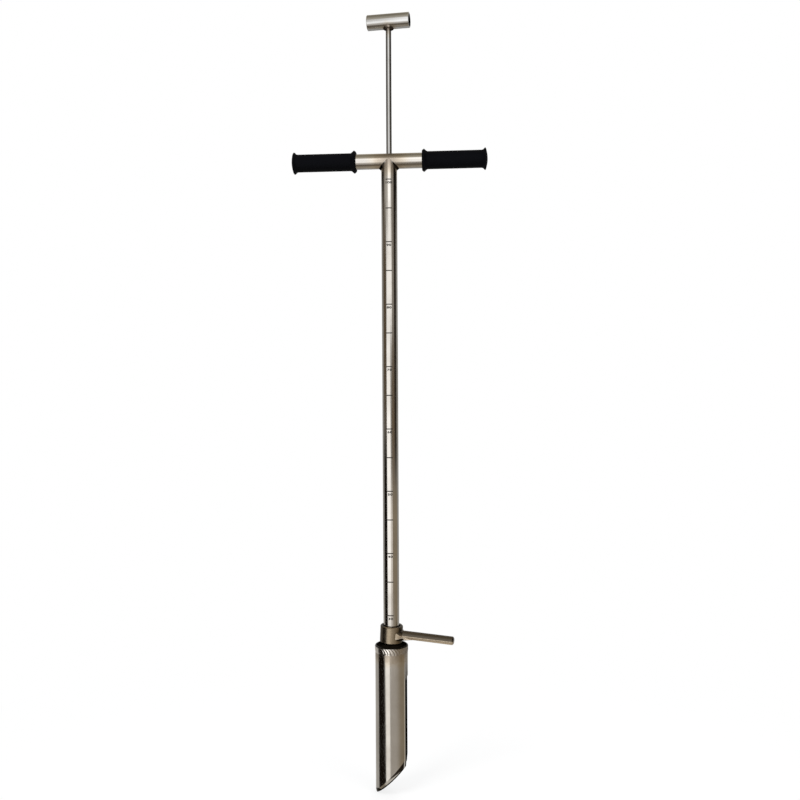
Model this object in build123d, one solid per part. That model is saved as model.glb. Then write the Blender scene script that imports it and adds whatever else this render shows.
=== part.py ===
from build123d import *

import os
from math import atan2, cos, degrees, radians, sin, sqrt, tan

# Sizes in mm. +Z runs up the shaft, +X along the crossbar, and -Y faces the marked front of the shaft.
# z = 0 is the seat just under the weld band, where a sheath slid over the sampling tube stops.

# Sampling tube and its slanted cutting mouth
TUBE_OD = 53.4
TUBE_WALL = 2.0
SEAT_TO_TIP = 228.8
MOUTH_ANGLE = 42.5
BEVEL_AT_TIP = 4.4
BEVEL_AT_HEEL = 13.4
EDGE_LAND = 1.0
WINDOW_WIDTH = 20.0
WINDOW_ABOVE_TIP = 190.8
WINDOW_CORNER = 8.0

# Top plate and the weld band that joins it to the tube
BAND_HEIGHT = 9.8
BAND_BULGE = 0.45
BAND_TOE = 1.5
BAND_ROUND = 2.3
BAND_GROOVE = 0.6
PLATE_THICKNESS = 6.0
PLATE_PROUD = 4.7
PLATE_FLAT_OD = 39.0
PLATE_EDGE_DROP = 2.9

# Shaft
SHAFT_OD = 26.0
SHAFT_WALL = 1.5
SHAFT_BELOW_PLATE = 3.5
SHAFT_WELD_LEG = 3.0

# Crossbar and grips
CROSSBAR_OD = 24.6
CROSSBAR_WALL = 1.5
CROSSBAR_ABOVE_TIP = 1029.2
CROSSBAR_WELD_LEG = 2.4
CROSSBAR_WELD_ROUND = 1.8
GRIP_SPAN = 320.0
GRIP_LENGTH = 106.0
GRIP_OD = 28.4
GRIP_END = 4.0
GRIP_DOME = 3.6
LIP_OD = 37.2
LIP_LENGTH = 8.0
LIP_CREST = 3.0
LIP_FACE_DROP = 2.6
LIP_ROUND = 1.3
LIP_COVE = 4.0

# Push rod and its handle
ROD_OD = 9.0
ROD_HOLE_CLEARANCE = 0.3
STROKE = 198.0
STOP_GAP = 0.5
HANDLE_OD = 24.0
HANDLE_WALL = 1.5
HANDLE_LENGTH = 69.5
HANDLE_RIM_CHAMFER = 0.5
HANDLE_TURN = -5.5
HANDLE_WELD_LEG = 4.2

# Rod guide in the shaft's lower end
BUSH_LENGTH = 30.0
BUSH_CLEARANCE = 0.08
SEAL_SECTION = 2.0
SEAL_GAP = 0.05
SEAL_ABOVE_END = 9.0
SEAL_SIDE_ROOM = 0.3

# Plunger on the rod's end
SPIGOT_OD = 6.0
SPIGOT_TAIL = 2.0
PISTON_THICKNESS = 8.0
PISTON_CLEARANCE = 0.5
PISTON_CHAMFER = 1.0
PISTON_PLAY = 0.15
PISTON_BORE_CLEARANCE = 0.08
WASHER_OD = 18.0
WASHER_THICKNESS = 1.6
WASHER_BORE_CLEARANCE = 0.2
NUT_ACROSS_FLATS = 10.0
NUT_HEX_HEIGHT = 4.5
NUT_COLLAR_OD = 8.8
NUT_COLLAR_HEIGHT = 1.5
NUT_BORE_CLEARANCE = 0.05

# Foot collar and peg. The loose collar leans over on the shaft as the peg's weight pulls it down.
COLLAR_OD = 37.0
COLLAR_HEIGHT = 27.4
COLLAR_CLEARANCE = 0.95
COLLAR_SHAFT_GAP = 0.3
COLLAR_SEAT_GAP = 0.3
COLLAR_CHAMFER = 1.2
PEG_OD = 13.4
PEG_REACH = 104.3
PEG_CHAMFER = 1.8
PEG_TURN = -11.5
FLARE_ROOT = 10.2
FLARE_LENGTH = 14.3
FLARE_WIDTH = 8.85
FLARE_RISE = 1.2
FLARE_CORNER = 3.5
FLARE_EDGE = 0.2
FLARE_CURVE = 1.35
FLARE_STATIONS = 6

# Radii
tube_r = TUBE_OD / 2
tube_bore_r = tube_r - TUBE_WALL
edge_r = tube_bore_r + EDGE_LAND
shaft_r = SHAFT_OD / 2
shaft_bore_r = shaft_r - SHAFT_WALL
crossbar_r = CROSSBAR_OD / 2
handle_r = HANDLE_OD / 2
rod_r = ROD_OD / 2
spigot_r = SPIGOT_OD / 2
washer_r = WASHER_OD / 2
collar_r = COLLAR_OD / 2
peg_r = PEG_OD / 2

# Heights
tip_z = -SEAT_TO_TIP
heel_z = tip_z + 2 * edge_r * tan(radians(MOUTH_ANGLE))
rim_z = BAND_HEIGHT
plate_top = rim_z + PLATE_PROUD
plate_bottom = plate_top - PLATE_THICKNESS
band_top = plate_top - PLATE_EDGE_DROP
shaft_end = plate_bottom - SHAFT_BELOW_PLATE
crossbar_z = tip_z + CROSSBAR_ABOVE_TIP
handle_z = crossbar_z + crossbar_r + STOP_GAP + STROKE + HANDLE_WELD_LEG + handle_r
shoulder_z = shaft_end - STOP_GAP
piston_top = shoulder_z - WASHER_THICKNESS - PISTON_PLAY
piston_bottom = piston_top - PISTON_THICKNESS
lower_washer_top = piston_bottom - PISTON_PLAY
nut_top = lower_washer_top - WASHER_THICKNESS
nut_bottom = nut_top - NUT_HEX_HEIGHT - NUT_COLLAR_HEIGHT
rod_end = nut_bottom - SPIGOT_TAIL

# The collar's lean, and the height of its middle when its low edge stands on the plate
collar_half = COLLAR_HEIGHT / 2
collar_lean = atan2(COLLAR_CLEARANCE - COLLAR_SHAFT_GAP, collar_half)
collar_low_edge = (collar_r - COLLAR_CHAMFER) * sin(collar_lean) + collar_half * cos(collar_lean)
collar_z = plate_top + COLLAR_SEAT_GAP + collar_low_edge


def post(radius, low, high):
    return Pos(0, 0, (low + high) / 2) * Cylinder(radius, high - low)


def bar_x(radius, length):
    return Rot(0, 90, 0) * Cylinder(radius, length)


def turned(points):
    outline = make_face(Polyline(*points, close=True))
    return revolve(Plane.XZ * outline, Axis.Z)


def ring(inner_r, outer_r, low, high):
    return turned([(inner_r, low), (outer_r, low), (outer_r, high), (inner_r, high)])


def root_weld(inner_r, leg, depth):
    # Concave fillet round a bar along +Z. It stands on z = 0 and sinks below it into a curved wall.
    bend = leg * (1 - sqrt(0.5))
    outline = make_face(
        Curve()
        + [
            ThreePointArc((inner_r + leg, 0), (inner_r + bend, bend), (inner_r, leg)),
            Polyline((inner_r, leg), (inner_r, -depth), (inner_r + leg, -depth), (inner_r + leg, 0)),
        ]
    )
    return revolve(Plane.XZ * outline, Axis.Z)


def corners(face, points):
    found = []
    for point in points:
        found.append(min(face.vertices(), key=lambda v: (v.X - point[0]) ** 2 + (v.Y - point[1]) ** 2))
    return found


def bevel_r(share):
    # The bevel's radius, from 0 at the cutting edge to 1 at its top.
    return edge_r + share * (TUBE_WALL - EDGE_LAND)


def mouth_plane(share):
    # A slanted plane across the tube, along the cutting edge at 0 and along the bevel's top at 1.
    low = tip_z + share * BEVEL_AT_TIP
    high = heel_z + share * BEVEL_AT_HEEL
    slant = atan2(high - low, 2 * bevel_r(share))
    centre = (0, 0, (low + high) / 2)
    return Plane(centre, x_dir=(cos(slant), 0, sin(slant)), z_dir=(-sin(slant), 0, cos(slant)))


def mouth_section(radius, share):
    # What that plane cuts from an upright cylinder on the shaft's axis.
    plane = mouth_plane(share)
    return plane * Ellipse(radius / plane.z_dir.Z, radius)


def mouth_skin():
    # The metal ground off outside the cutting edge, leaving a bevel that widens from the tip to the heel.
    overrun = 1 / 4
    low = -overrun
    high = 1 + overrun
    core = loft([mouth_section(bevel_r(low), low), mouth_section(bevel_r(high), high)], ruled=True)
    outside_r = tube_r + TUBE_WALL
    blank = loft([mouth_section(outside_r, low), mouth_section(outside_r, high)], ruled=True)
    return blank - core


def make_sampling_tube():
    wall = ring(tube_bore_r, tube_r, tip_z, rim_z)
    wall -= ring(tube_r - BAND_GROOVE, tube_r + TUBE_WALL, 0, rim_z + TUBE_WALL)
    wall = split(wall, bisect_by=mouth_plane(0), keep=Keep.TOP)
    wall -= mouth_skin()
    window_length = WINDOW_ABOVE_TIP + WINDOW_WIDTH
    window_mid = tip_z + WINDOW_ABOVE_TIP - window_length / 2
    outline = Pos(0, window_mid) * RectangleRounded(WINDOW_WIDTH, window_length, WINDOW_CORNER)
    return wall - extrude(Plane.YZ * outline, tube_r + TUBE_WALL)


def make_top_plate():
    # Flat where the foot collar stands, then falling away to the weld band.
    return turned(
        [
            (shaft_r, plate_bottom),
            (tube_bore_r, plate_bottom),
            (tube_bore_r, band_top),
            (PLATE_FLAT_OD / 2, plate_top),
            (shaft_r, plate_top),
        ]
    )


def make_plate_weld():
    outer_r = tube_r + BAND_BULGE
    groove_r = tube_r - BAND_GROOVE
    outline = make_face(
        Polyline(
            (tube_bore_r, band_top),
            (outer_r, band_top),
            (outer_r, BAND_TOE),
            (tube_r, 0),
            (groove_r, 0),
            (groove_r, rim_z),
            (tube_bore_r, rim_z),
            close=True,
        )
    )
    outline = fillet(corners(outline, [(outer_r, band_top)]), BAND_ROUND)
    return revolve(Plane.XZ * outline, Axis.Z)


def make_shaft_tube():
    notch = Pos(0, 0, crossbar_z) * bar_x(crossbar_r, GRIP_SPAN)
    return ring(shaft_bore_r, shaft_r, shaft_end, crossbar_z) - notch


def make_shaft_weld():
    foot = plate_bottom - SHAFT_WELD_LEG
    return turned([(shaft_r, plate_bottom), (shaft_r + SHAFT_WELD_LEG, plate_bottom), (shaft_r, foot)])


def make_crossbar():
    length = GRIP_SPAN - 2 * GRIP_END
    tube = bar_x(crossbar_r, length) - bar_x(crossbar_r - CROSSBAR_WALL, length)
    tube -= Cylinder(rod_r + ROD_HOLE_CLEARANCE, CROSSBAR_OD + CROSSBAR_WALL)
    return Pos(0, 0, crossbar_z) * tube


def make_crossbar_weld(side):
    # A rounded bead under the crossbar, along the line where the shaft's notch meets it.
    outer_r = crossbar_r + CROSSBAR_WELD_LEG
    reach = shaft_r + CROSSBAR_WELD_LEG
    bead = bar_x(outer_r, GRIP_SPAN) & ring(shaft_r, reach, -outer_r, 0)
    depth = 2 * (crossbar_r - CROSSBAR_WALL)
    bead &= Pos(side * reach / 2, 0, -outer_r / 2) * Box(reach, depth, outer_r)
    crown = bead.edges().sort_by(lambda edge: -side * (edge @ 0.5).X + (edge @ 0.5).Z)[0]
    bead = fillet(crown, CROSSBAR_WELD_ROUND) - bar_x(crossbar_r, GRIP_SPAN)
    return Pos(0, 0, crossbar_z) * bead


def make_grip():
    # A sleeve with a flared lip at each end and a shallow dome over its closed outer end.
    inner = GRIP_SPAN / 2 - GRIP_LENGTH
    outer = GRIP_SPAN / 2
    lip_r = LIP_OD / 2
    body_r = GRIP_OD / 2
    inner_foot = inner + LIP_LENGTH
    outer_foot = outer - LIP_LENGTH
    inner_crest = inner + LIP_CREST
    outer_crest = outer - GRIP_DOME
    dome_r = (lip_r**2 + GRIP_DOME**2) / (2 * GRIP_DOME)
    dome_mid = outer - dome_r + sqrt(dome_r**2 - lip_r**2 / 4)
    bottom = outer - GRIP_END
    outline = make_face(
        Curve()
        + [
            ThreePointArc((outer_crest, lip_r), (dome_mid, lip_r / 2), (outer, 0)),
            Polyline(
                (outer, 0),
                (bottom, 0),
                (bottom, crossbar_r),
                (inner, crossbar_r),
                (inner, lip_r - LIP_FACE_DROP),
                (inner_crest, lip_r),
                (inner_foot, body_r),
                (outer_foot, body_r),
                (outer_crest, lip_r),
            ),
        ]
    )
    outline = fillet(corners(outline, [(inner_crest, lip_r), (outer_crest, lip_r)]), LIP_ROUND)
    outline = fillet(corners(outline, [(inner_foot, body_r), (outer_foot, body_r)]), LIP_COVE)
    return Pos(0, 0, crossbar_z) * revolve(outline, Axis.X)


def make_push_handle():
    bore_r = handle_r - HANDLE_WALL
    half = HANDLE_LENGTH / 2
    rim = HANDLE_RIM_CHAMFER
    tube = turned(
        [
            (bore_r, -half),
            (handle_r - rim, -half),
            (handle_r, rim - half),
            (handle_r, half - rim),
            (handle_r - rim, half),
            (bore_r, half),
        ]
    )
    return Pos(0, 0, handle_z) * Rot(0, 0, HANDLE_TURN) * Rot(0, 90, 0) * tube


def handle_blank():
    return Pos(0, 0, handle_z) * Rot(0, 0, HANDLE_TURN) * bar_x(handle_r, HANDLE_LENGTH)


def make_push_handle_weld():
    bead = Pos(0, 0, handle_z - handle_r) * Rot(180, 0, 0) * root_weld(rod_r, HANDLE_WELD_LEG, handle_r)
    return bead - handle_blank()


def make_push_rod():
    return post(rod_r, shoulder_z, handle_z) + post(spigot_r, rod_end, shoulder_z) - handle_blank()


def make_guide_bush():
    bore_r = rod_r + BUSH_CLEARANCE
    groove_r = rod_r + SEAL_GAP + SEAL_SECTION
    seal_z = shaft_end + SEAL_ABOVE_END
    half = SEAL_SECTION / 2 + SEAL_SIDE_ROOM
    bush = ring(bore_r, shaft_bore_r, shaft_end, shaft_end + BUSH_LENGTH)
    return bush - ring(rod_r, groove_r, seal_z - half, seal_z + half)


def make_rod_seal():
    section_r = SEAL_SECTION / 2
    return Pos(0, 0, shaft_end + SEAL_ABOVE_END) * Torus(rod_r + SEAL_GAP + section_r, section_r)


def make_washer(top):
    return ring(spigot_r + WASHER_BORE_CLEARANCE, washer_r, top - WASHER_THICKNESS, top)


def make_piston_disc():
    disc_r = tube_bore_r - PISTON_CLEARANCE
    bore_r = spigot_r + PISTON_BORE_CLEARANCE
    return turned(
        [
            (bore_r, piston_bottom),
            (disc_r - PISTON_CHAMFER, piston_bottom),
            (disc_r, piston_bottom + PISTON_CHAMFER),
            (disc_r, piston_top - PISTON_CHAMFER),
            (disc_r - PISTON_CHAMFER, piston_top),
            (bore_r, piston_top),
        ]
    )


def make_piston_nut():
    hexagon = RegularPolygon(NUT_ACROSS_FLATS / 2, 6, major_radius=False)
    body = Pos(0, 0, nut_top - NUT_HEX_HEIGHT) * extrude(hexagon, NUT_HEX_HEIGHT)
    body += post(NUT_COLLAR_OD / 2, nut_bottom, nut_top)
    return body - post(spigot_r + NUT_BORE_CLEARANCE, rod_end, shoulder_z)


def on_shaft(shape):
    # Sets a foot piece, made about the collar's middle with its peg along +X, leaning on the shaft.
    return Pos(0, 0, collar_z) * Rot(0, 0, PEG_TURN) * Rot(0, degrees(collar_lean), 0) * shape


def collar_blank():
    return Cylinder(collar_r, COLLAR_HEIGHT)


def make_foot_collar():
    bore_r = shaft_r + COLLAR_CLEARANCE
    half = collar_half
    bevel = COLLAR_CHAMFER
    collar = turned(
        [
            (bore_r, -half),
            (collar_r - bevel, -half),
            (collar_r, bevel - half),
            (collar_r, half - bevel),
            (collar_r - bevel, half),
            (bore_r + bevel, half),
            (bore_r, half - bevel),
        ]
    )
    return on_shaft(collar)


def make_foot_peg():
    bar = turned(
        [
            (0, 0),
            (peg_r, 0),
            (peg_r, PEG_REACH - PEG_CHAMFER),
            (peg_r - PEG_CHAMFER, PEG_REACH),
            (0, PEG_REACH),
        ]
    )
    return on_shaft(Rot(0, 90, 0) * bar - collar_blank())


def make_foot_peg_weld():
    # A fishtail of weld. It spreads wide round the collar and hardly rises above or below the peg.
    sections = []
    for station in range(FLARE_STATIONS):
        share = station / (FLARE_STATIONS - 1)
        swell = (1 - share) ** FLARE_CURVE
        width = peg_r + FLARE_EDGE + swell * FLARE_WIDTH
        rise = peg_r + FLARE_EDGE + swell * FLARE_RISE
        corner = FLARE_CORNER + share * (peg_r - FLARE_CORNER)
        outline = RectangleRounded(2 * width, 2 * rise, corner)
        sections.append(Plane.YZ.offset(FLARE_ROOT + share * FLARE_LENGTH) * outline)
    return on_shaft(loft(sections) - collar_blank() - bar_x(peg_r, 2 * PEG_REACH))


pieces = {
    "sampling_tube": make_sampling_tube(),
    "top_plate": make_top_plate(),
    "plate_weld": make_plate_weld(),
    "shaft_tube": make_shaft_tube(),
    "shaft_weld": make_shaft_weld(),
    "crossbar": make_crossbar(),
    "crossbar_weld_left": make_crossbar_weld(-1),
    "crossbar_weld_right": make_crossbar_weld(1),
    "grip_right": make_grip(),
    "grip_left": mirror(make_grip(), about=Plane.YZ),
    "guide_bush": make_guide_bush(),
    "rod_seal": make_rod_seal(),
    "push_rod": make_push_rod(),
    "push_handle": make_push_handle(),
    "push_handle_weld": make_push_handle_weld(),
    "thrust_washer": make_washer(shoulder_z),
    "piston_disc": make_piston_disc(),
    "piston_washer": make_washer(lower_washer_top),
    "piston_nut": make_piston_nut(),
    "foot_collar": make_foot_collar(),
    "foot_peg": make_foot_peg(),
    "foot_peg_weld": make_foot_peg_weld(),
}

os.makedirs("parts", exist_ok=True)
for name, piece in pieces.items():
    export_step(piece, f"parts/{name}.step")
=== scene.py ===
import math

import bmesh
import bpy
from mathutils import Matrix, Vector


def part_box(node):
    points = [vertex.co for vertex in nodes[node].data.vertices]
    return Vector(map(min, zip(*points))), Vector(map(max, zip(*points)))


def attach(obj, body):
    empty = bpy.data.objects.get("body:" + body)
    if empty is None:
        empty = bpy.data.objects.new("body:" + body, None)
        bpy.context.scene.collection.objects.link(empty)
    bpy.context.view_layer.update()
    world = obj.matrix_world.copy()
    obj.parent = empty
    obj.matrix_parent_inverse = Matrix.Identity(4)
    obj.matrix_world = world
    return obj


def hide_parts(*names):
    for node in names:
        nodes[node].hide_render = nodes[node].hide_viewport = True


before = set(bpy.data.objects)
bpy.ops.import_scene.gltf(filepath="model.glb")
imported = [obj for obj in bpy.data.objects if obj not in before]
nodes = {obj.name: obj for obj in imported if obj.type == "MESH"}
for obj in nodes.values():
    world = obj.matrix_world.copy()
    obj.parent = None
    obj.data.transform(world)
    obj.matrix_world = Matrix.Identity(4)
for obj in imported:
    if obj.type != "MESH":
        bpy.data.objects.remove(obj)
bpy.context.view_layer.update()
mm = 0.001

# places read from the frame
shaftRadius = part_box("shaft_tube")[1].x
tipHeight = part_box("sampling_tube")[0].z
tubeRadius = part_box("sampling_tube")[1].x
bandLow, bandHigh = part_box("plate_weld")[0].z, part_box("plate_weld")[1].z
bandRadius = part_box("plate_weld")[1].x
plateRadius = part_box("top_plate")[1].x
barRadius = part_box("crossbar")[1].y
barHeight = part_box("crossbar")[1].z - barRadius
handleHeight = (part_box("push_handle")[0].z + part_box("push_handle")[1].z) / 2
collarMiddle = (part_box("foot_collar")[0].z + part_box("foot_collar")[1].z) / 2
print("frame loaded,", len(nodes), "nodes")


# camera

shot = dict(
    azimuth=5.2, distance=1.398, height=0.4214, pitch=-0.426, yaw=0.650, roll=0.284,  # degrees and metres
    lens=38.5, sensor=36,
)


def turnPair(first, second, degrees):
    angle = math.radians(degrees)
    turned = first * math.cos(angle) + second * math.sin(angle)
    return turned, second * math.cos(angle) - first * math.sin(angle)


def makeCamera():
    data = bpy.data.cameras.new("shotCamera")
    data.lens = shot["lens"]
    data.sensor_width = shot["sensor"]
    camera = bpy.data.objects.new("shotCamera", data)
    bpy.context.scene.collection.objects.link(camera)
    around = math.radians(shot["azimuth"])
    forward = Vector((-math.sin(around), math.cos(around), 0))
    right = Vector((math.cos(around), math.sin(around), 0))
    up = Vector((0, 0, 1))
    place = Vector((0, 0, shot["height"])) - forward * shot["distance"]
    forward, right = turnPair(forward, right, shot["yaw"])
    forward, up = turnPair(forward, up, shot["pitch"])
    up, right = turnPair(up, right, shot["roll"])
    camera.matrix_world = Matrix.Translation(place) @ Matrix((right, up, -forward)).transposed().to_4x4()
    bpy.context.scene.camera = camera


makeCamera()
print("camera set")


# node helpers

def addNode(tree, kind, inputs=None, **settings):
    node = tree.nodes.new("ShaderNode" + kind)
    for key, value in settings.items():
        setattr(node, key, value)
    for key, value in (inputs or {}).items():
        if isinstance(value, bpy.types.NodeSocket):
            tree.links.new(value, node.inputs[key])
        else:
            node.inputs[key].default_value = value
    return node


def calc(tree, operation, first, second=0.0, third=0.0):
    return addNode(tree, "Math", {0: first, 1: second, 2: third}, operation=operation).outputs[0]


def remap(tree, value, low, high, newLow=0.0, newHigh=1.0, soft=False):
    kind = "SMOOTHSTEP" if soft else "LINEAR"
    inputs = {"Value": value, "From Min": low, "From Max": high, "To Min": newLow, "To Max": newHigh}
    return addNode(tree, "MapRange", inputs, interpolation_type=kind).outputs[0]


def mixColour(tree, factor, first, second, blend="MIX"):
    inputs = {0: factor, 6: first, 7: second}
    return addNode(tree, "Mix", inputs, data_type="RGBA", blend_type=blend).outputs[2]


def stretched(tree, vector, scale, turn=(0, 0, 0)):
    inputs = {"Vector": vector, "Rotation": turn, "Scale": scale}
    return addNode(tree, "Mapping", inputs).outputs[0]


def shrunk(tree, vector, factor):
    return addNode(tree, "VectorMath", {0: vector, "Scale": factor}, operation="SCALE").outputs[0]


def added(tree, first, second):
    return addNode(tree, "VectorMath", {0: first, 1: second}, operation="ADD").outputs[0]


def distance(tree, first, second):
    return addNode(tree, "VectorMath", {0: first, 1: second}, operation="DISTANCE").outputs["Value"]


def noise(tree, vector, scale, detail=3.0, roughness=0.55):
    inputs = {"Vector": vector, "Scale": scale, "Detail": detail, "Roughness": roughness}
    return addNode(tree, "TexNoise", inputs).outputs["Fac"]


def placeAxes(tree):
    place = addNode(tree, "TexCoord").outputs["Object"]
    return place, addNode(tree, "SeparateXYZ", {0: place}).outputs


def fromAxis(tree, place):
    axes = addNode(tree, "SeparateXYZ", {0: place}).outputs
    flat = addNode(tree, "CombineXYZ", {"X": axes["X"], "Y": axes["Y"]}).outputs[0]
    return addNode(tree, "VectorMath", {0: flat}, operation="LENGTH").outputs["Value"]


def newGroup(name, inputs, outputs):
    tree = bpy.data.node_groups.new(name, "ShaderNodeTree")
    for label, kind, value in inputs:
        socket = tree.interface.new_socket(label, in_out="INPUT", socket_type="NodeSocket" + kind)
        if value is not None:
            socket.default_value = value
    for label, kind in outputs:
        tree.interface.new_socket(label, in_out="OUTPUT", socket_type="NodeSocket" + kind)
    return tree, tree.nodes.new("NodeGroupInput").outputs, tree.nodes.new("NodeGroupOutput").inputs


def useGroup(tree, group, inputs, label=""):
    return addNode(tree, "Group", inputs, node_tree=group, label=label).outputs


def newMaterial(name, settings):
    material = bpy.data.materials.new(name)
    material.use_nodes = True
    tree = material.node_tree
    shader = tree.nodes["Principled BSDF"]
    for key, value in settings.items():
        shader.inputs[key].default_value = value
    place = addNode(tree, "TexCoord").outputs["Object"]
    return material, tree, shader, place


# effects that several finishes share

grainSizes = dict(ringSqueeze=0.03, streakSqueeze=0.02, clouds=16.0, waves=60.0, waveStretch=(1, 1, 0.3))


def makePolishGrain():
    tree, given, out = newGroup(
        "polishGrain",
        [("Vector", "Vector", None), ("Ring Scale", "Float", 2200.0), ("Streak Scale", "Float", 700.0)],
        [("Rings", "Float"), ("Streaks", "Float"), ("Clouds", "Float"), ("Waves", "Float")],
    )
    axes = addNode(tree, "SeparateXYZ", {0: given["Vector"]}).outputs
    flat = addNode(tree, "CombineXYZ", {"X": axes["X"], "Y": axes["Y"]}).outputs[0]
    tall = addNode(tree, "CombineXYZ", {"Z": axes["Z"]}).outputs[0]
    ringPlace = added(tree, shrunk(tree, flat, grainSizes["ringSqueeze"]), tall)
    streakPlace = added(tree, flat, shrunk(tree, tall, grainSizes["streakSqueeze"]))
    wavePlace = stretched(tree, given["Vector"], grainSizes["waveStretch"])
    tree.links.new(noise(tree, ringPlace, given["Ring Scale"], 2.0), out["Rings"])
    tree.links.new(noise(tree, streakPlace, given["Streak Scale"]), out["Streaks"])
    tree.links.new(noise(tree, given["Vector"], grainSizes["clouds"], 4.0, 0.6), out["Clouds"])
    tree.links.new(noise(tree, wavePlace, grainSizes["waves"], 1.0), out["Waves"])
    return tree


scratchLines = dict(
    sets=(((0.4, 0.1, 0.3), 260.0), ((-0.3, 0.5, 1.1), 340.0)),  # turn and scale of each set
    stretch=(1, 1, 0.06), thin=0.012, patches=(0.56, 0.7), patchScale=0.3,
)


def makeFineScratches():
    tree, given, out = newGroup(
        "fineScratches", [("Vector", "Vector", None), ("Amount", "Float", 0.5)], [("Scratches", "Float")]
    )
    total = None
    for turn, scale in scratchLines["sets"]:
        place = stretched(tree, given["Vector"], scratchLines["stretch"], turn)
        lines = addNode(tree, "TexVoronoi", {"Vector": place, "Scale": scale}, feature="DISTANCE_TO_EDGE")
        thin = remap(tree, lines.outputs["Distance"], 0.0, scratchLines["thin"], 1.0, 0.0)
        patches = noise(tree, given["Vector"], scale * scratchLines["patchScale"], 1.0)
        found = calc(tree, "MULTIPLY", thin, remap(tree, patches, *scratchLines["patches"]))
        total = found if total is None else calc(tree, "MAXIMUM", total, found)
    tree.links.new(calc(tree, "MULTIPLY", total, given["Amount"]), out["Scratches"])
    return tree


heatBands = dict(
    grain=180.0, ragged=8 * mm, oxide=0.5,
    stops=(
        (0.0, (0.66, 0.60, 0.54, 1)), (0.35, (0.84, 0.77, 0.68, 1)),
        (0.6, (0.98, 0.94, 0.87, 1)), (1.0, (1, 1, 1, 1)),
    ),
)


def makeHeatTint():
    reach = [("Near", "Float", 10 * mm), ("Far", "Float", 40 * mm)]
    tree, given, out = newGroup(
        "heatTint",
        [("Vector", "Vector", None), ("Centre", "Vector", None)] + reach,
        [("Colour", "Color"), ("Oxide", "Float")],
    )
    away = distance(tree, given["Vector"], given["Centre"])
    uneven = noise(tree, given["Vector"], heatBands["grain"])
    ragged = calc(tree, "MULTIPLY_ADD", uneven, heatBands["ragged"], away)
    share = remap(tree, calc(tree, "SUBTRACT", ragged, heatBands["ragged"] / 2), given["Near"], given["Far"])
    ramp = addNode(tree, "ValToRGB", {"Fac": share})
    bands = ramp.color_ramp
    while len(bands.elements) < len(heatBands["stops"]):
        bands.elements.new(0.5)
    for element, (position, colour) in zip(bands.elements, heatBands["stops"]):
        element.position = position
        element.color = colour
    tree.links.new(ramp.outputs["Color"], out["Colour"])
    tree.links.new(remap(tree, share, 0.0, heatBands["oxide"], 1.0, 0.0), out["Oxide"])
    return tree


# painted reflection: a dark strip low on the sides of the crossbar and push handle, standing in for dark
# ground reflected there
paintedReflectionDark = dict(uneven=0.12, grain=140.0, stretch=(0.3, 1, 1), amount=0.7, colour=(0.16, 0.14, 0.115, 1))
stripEdges = ("Start", "Full", "Thin", "End")


# mask of the painted dark reflection, by how far a face looks down
def makeDullStrip():
    edges = [(label, "Float", None) for label in stripEdges]
    tree, given, out = newGroup(
        "paintedReflectionStrip", [("Vector", "Vector", None), ("Facing", "Float", None)] + edges, [("Mask", "Float")]
    )
    patches = noise(tree, stretched(tree, given["Vector"], paintedReflectionDark["stretch"]), paintedReflectionDark["grain"])
    uneven = calc(tree, "SUBTRACT", 0.5, patches)
    facing = calc(tree, "MULTIPLY_ADD", uneven, paintedReflectionDark["uneven"], given["Facing"])
    down = calc(tree, "MULTIPLY", facing, -1.0)
    begun = remap(tree, down, given["Start"], given["Full"])
    left = remap(tree, down, given["Thin"], given["End"], paintedReflectionDark["amount"], 0.0)
    tree.links.new(calc(tree, "MULTIPLY", begun, left), out["Mask"])
    return tree


footPeg = dict(radius=6.7 * mm, turn=-11.5, lean=2.72)
# painted shade over the upper half of the foot peg and its weld, painted light on the lower half, and painted
# shadow under the weld
pegShading = dict(  # near and far are beside the peg, the facings are how far a face looks up
    upFacingTone=(0.115, 0.097, 0.076, 1), shadowTone=(0.020, 0.016, 0.012, 1), amount=0.92,
    grainScale=160.0, grain=1.2 * mm, soft=0.9 * mm, underFacing=(-0.1, -0.5), topFacing=(0.35, 0.8),
    near=3.2 * mm, far=8.4 * mm, onPeg=0.0, onCollar=6.2 * mm, underPeg=-2.9 * mm, underCollar=-4.9 * mm,
)


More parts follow.
